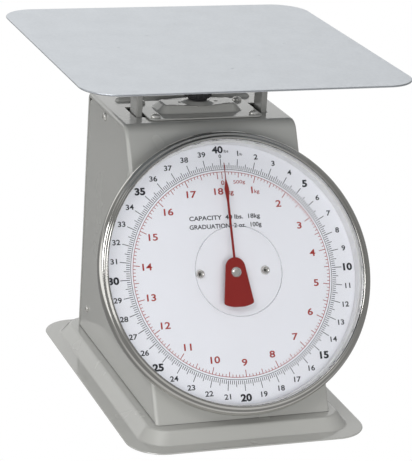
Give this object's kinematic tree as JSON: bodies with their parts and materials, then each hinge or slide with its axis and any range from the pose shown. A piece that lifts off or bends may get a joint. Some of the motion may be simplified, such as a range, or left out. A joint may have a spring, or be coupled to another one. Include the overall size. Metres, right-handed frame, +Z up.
{
  "type": "mechanical dial platform scale",
  "caption": "Free-standing spring scale: a flat square platform on two posts presses on springs in a sloping housing, and a rack and pinion turns the pointer of a large round dial.",
  "frame": {"origin": "on the floor under the middle of the whole object", "axes": "+Z up, the dial looks towards -Y, +X to the right as the dial is read"},
  "size_m": [0.27, 0.314, 0.2754],
  "materials": {
    "grey_paint": "gloss",
    "satin_steel": "satin",
    "plain_steel": "satin",
    "polished_steel": "polished",
    "brass": "satin",
    "black_plastic": "semi-gloss",
    "black_rubber": "matt",
    "white_rubber": "matt",
    "dial_print": "semi-gloss white with black and red print",
    "red_paint": "semi-gloss",
    "clear_lens": "clear gloss"
  },
  "bodies": {
    "frame": {"base_tray": "grey_paint", "housing_wrap": "grey_paint", "side_panel_left": "grey_paint", "side_panel_right": "grey_paint", "cover_plate": "grey_paint", "rear_column": "plain_steel", "stop_bolt": "plain_steel", "stop_nut": "plain_steel", "bezel": "polished_steel", "dial_pan": "polished_steel", "dial_screw_left": "polished_steel", "dial_screw_right": "polished_steel", "cover_screw_front_left": "polished_steel", "cover_screw_front_right": "polished_steel", "cover_screw_rear_left": "polished_steel", "cover_screw_rear_right": "polished_steel", "side_screw_left_upper": "polished_steel", "side_screw_left_lower": "polished_steel", "side_screw_right_upper": "polished_steel", "side_screw_right_lower": "polished_steel", "damper_cylinder": "brass", "bearing_plate_front": "brass", "bearing_plate_rear": "brass", "plate_spacer_1": "brass", "plate_spacer_2": "brass", "plate_spacer_3": "brass", "bush_front": "brass", "bush_rear": "brass", "rack_guide": "brass", "dial_spacer_left": "brass", "dial_spacer_right": "brass", "lens_gasket": "white_rubber", "foot_front_left": "black_rubber", "foot_front_right": "black_rubber", "foot_rear_left": "black_rubber", "foot_rear_right": "black_rubber", "dial_face": "dial_print", "lens": "clear_lens"},
    "platform": {"platform_plate": "satin_steel", "platform_spider": "plain_steel", "post_left": "grey_paint", "post_right": "grey_paint", "load_yoke": "plain_steel", "damper_piston": "plain_steel"},
    "rack": {"rack": "brass", "rack_pin": "plain_steel"},
    "pointer_assembly": {"pointer_shaft": "plain_steel", "pinion": "brass", "pointer": "red_paint", "hub_screw": "polished_steel"},
    "zero_adjuster": {"zero_knob": "black_plastic", "zero_screw": "plain_steel"},
    "spring_carrier": {"spring_hanger": "plain_steel", "spring_left": "plain_steel", "spring_right": "plain_steel"},
    "upper_arm": {"check_arm_upper": "plain_steel"},
    "lower_arm": {"check_arm_lower": "plain_steel"}
  },
  "joints": [
    {"name": "platform_slide", "type": "slide", "parent": "frame", "child": "platform", "axis": [0, 0, 1], "range_m": [-0.01373, 0], "stiffness_N_per_m": 13000, "springref_m": 0.002, "deforming": ["spring_left", "spring_right"]},
    {"name": "rack_slide", "type": "slide", "parent": "frame", "child": "rack", "axis": [0, 0.4848, 0.8746], "range_m": [-0.0158, 0.00005]},
    {"name": "pointer_turn", "type": "hinge", "parent": "frame", "child": "pointer_assembly", "pos_m": [0, -0.08005, 0.11617], "axis": [0, -0.8746, 0.4848], "range_deg": [-361, 1]},
    {"name": "zero_turn", "type": "hinge", "parent": "frame", "child": "zero_adjuster", "pos_m": [0, 0.026, 0.24], "axis": [0, 0, 1], "range_deg": [-360, 360]},
    {"name": "hanger_slide", "type": "slide", "parent": "frame", "child": "spring_carrier", "axis": [0, 0, 1], "range_m": [-0.001, 0.001], "deforming": ["spring_left", "spring_right"]},
    {"name": "upper_arm_swing", "type": "hinge", "parent": "frame", "child": "upper_arm", "pos_m": [0, 0.08, 0.112], "axis": [1, 0, 0], "range_deg": [-0.2, 13.8]},
    {"name": "lower_arm_swing", "type": "hinge", "parent": "frame", "child": "lower_arm", "pos_m": [0, 0.08, 0.066], "axis": [1, 0, 0], "range_deg": [-0.2, 13.8]}
  ],
  "couplings": [
    {"joint": "rack_slide", "follows": "platform_slide", "ratio": 1.1434},
    {"joint": "pointer_turn", "follows": "platform_slide", "rad_per_m": 457.34},
    {"joint": "zero_turn", "follows": "hanger_slide", "rad_per_m": -6283.2},
    {"joint": "upper_arm_swing", "follows": "platform_slide", "rad_per_m": -17.282},
    {"joint": "lower_arm_swing", "follows": "platform_slide", "rad_per_m": -17.282}
  ]
}
